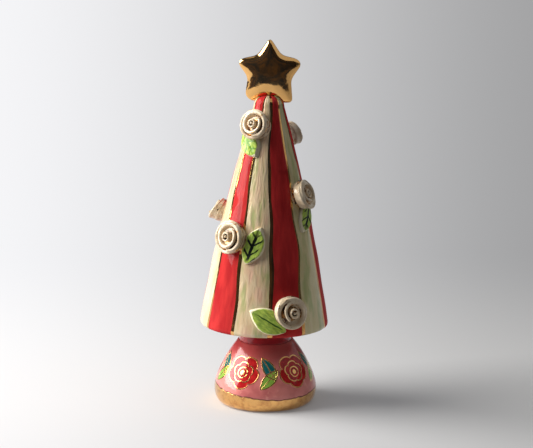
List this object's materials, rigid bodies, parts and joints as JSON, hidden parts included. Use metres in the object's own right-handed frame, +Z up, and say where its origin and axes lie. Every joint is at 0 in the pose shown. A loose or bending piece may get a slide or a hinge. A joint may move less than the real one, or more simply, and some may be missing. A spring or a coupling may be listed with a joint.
{
  "type": "miniature ceramic christmas tree",
  "caption": "Small standing tree ornament: a striped hollow cone on a bell-shaped foot, a puffed star on its tip, coiled clay roses with leaves round it.",
  "frame": {"origin": "bottom centre of the part's bounding box, on the plane that the foot rests on", "axes": "+Z up along the tree, -Y towards the viewer who faces the front of the star"},
  "size_m": [0.0706, 0.0814, 0.1998],
  "materials": {
    "base_glaze": "glossy pink glaze with a painted frieze and a gold band round the foot",
    "collar_glaze": "glossy dark red glaze",
    "floor_glaze": "thin cream glaze",
    "tree_glaze": "glossy glaze in upright stripes of red and pearl, with gold lines between",
    "gold_lustre": "mirror gold lustre over glaze",
    "rose_glaze": "glossy cream glaze with touches of gold",
    "leaf_glaze": "glossy lime green glaze with dark veins and a cream edge"
  },
  "bodies": {
    "root": {"base_pedestal": "base_glaze", "neck_collar": "collar_glaze", "tree_floor": "floor_glaze", "tree_cone": "tree_glaze", "star_topper": "gold_lustre", "rose_01_petals": "rose_glaze", "rose_01_bud": "rose_glaze", "leaf_01": "leaf_glaze", "rose_02_petals": "rose_glaze", "rose_02_bud": "rose_glaze", "leaf_02": "leaf_glaze", "rose_03_petals": "rose_glaze", "rose_03_bud": "rose_glaze", "leaf_03": "leaf_glaze", "rose_04_petals": "rose_glaze", "rose_04_bud": "rose_glaze", "leaf_04": "leaf_glaze", "rose_05_petals": "rose_glaze", "rose_05_bud": "rose_glaze", "leaf_05": "leaf_glaze", "rose_06_petals": "rose_glaze", "rose_06_bud": "rose_glaze", "leaf_06": "leaf_glaze", "rose_07_petals": "rose_glaze", "rose_07_bud": "rose_glaze", "leaf_07": "leaf_glaze", "rose_08_petals": "rose_glaze", "rose_08_bud": "rose_glaze", "leaf_08": "leaf_glaze", "rose_09_petals": "rose_glaze", "rose_09_bud": "rose_glaze", "leaf_09": "leaf_glaze", "rose_10_petals": "rose_glaze", "rose_10_bud": "rose_glaze", "leaf_10": "leaf_glaze"}
  },
  "joints": []
}
